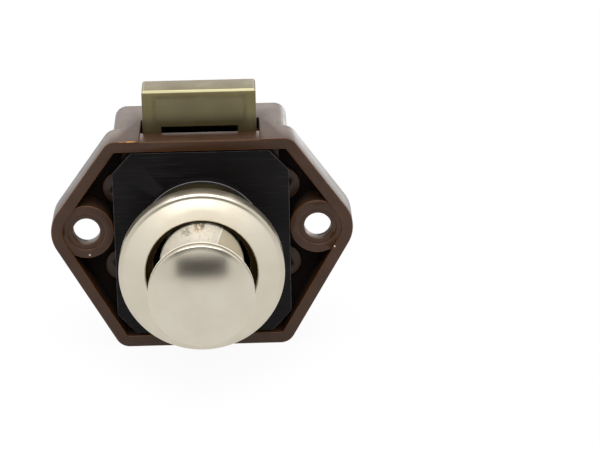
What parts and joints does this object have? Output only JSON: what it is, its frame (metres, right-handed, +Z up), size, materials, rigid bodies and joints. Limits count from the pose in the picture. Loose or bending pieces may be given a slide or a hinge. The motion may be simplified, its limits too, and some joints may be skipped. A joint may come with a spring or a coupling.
{
  "type": "pushbutton catch",
  "caption": "Pushbutton catch for a cabinet door: a sprung knob draws down a square-ended bolt in a screw-fixed plastic case.",
  "frame": {"origin": "on the button axis, in the plane of the case rim that lies on the inner face of the door", "axes": "+X to the right along the screw line, -Y out through the door towards the hand, +Z up along the bolt's travel"},
  "size_m": [0.06, 0.0584, 0.0518],
  "materials": {
    "case_plastic": "moulded, brown",
    "plate_plastic": "fine lined, black",
    "barrel_metal": "dull olive",
    "satin_nickel": "satin nickel plated",
    "cast_nickel": "nickel plated casting",
    "steel": "bright",
    "spindle_plastic": "smooth, black",
    "bolt_plastic": "moulded, olive"
  },
  "bodies": {
    "housing": {"case": "case_plastic", "retainer_plate": "plate_plastic", "barrel": "barrel_metal", "rosette": "satin_nickel", "button_spring": "steel", "bolt_spring": "steel"},
    "button": {"knob": "cast_nickel", "knob_pin": "steel", "spindle": "spindle_plastic", "stop_clip": "steel"},
    "latch": {"bolt": "bolt_plastic", "cam_pin": "steel"}
  },
  "joints": [
    {"name": "button_press", "type": "slide", "parent": "housing", "child": "button", "axis": [0, 1, 0], "range_m": [0, 0.01], "stiffness_N_per_m": 250, "springref_m": -0.02, "deforming": ["button_spring"]},
    {"name": "bolt_draw", "type": "slide", "parent": "housing", "child": "latch", "axis": [0, 0, -1], "range_m": [0, 0.006], "deforming": ["bolt_spring"]}
  ],
  "couplings": [
    {"joint": "bolt_draw", "follows": "button_press", "ratio": 0.6}
  ]
}
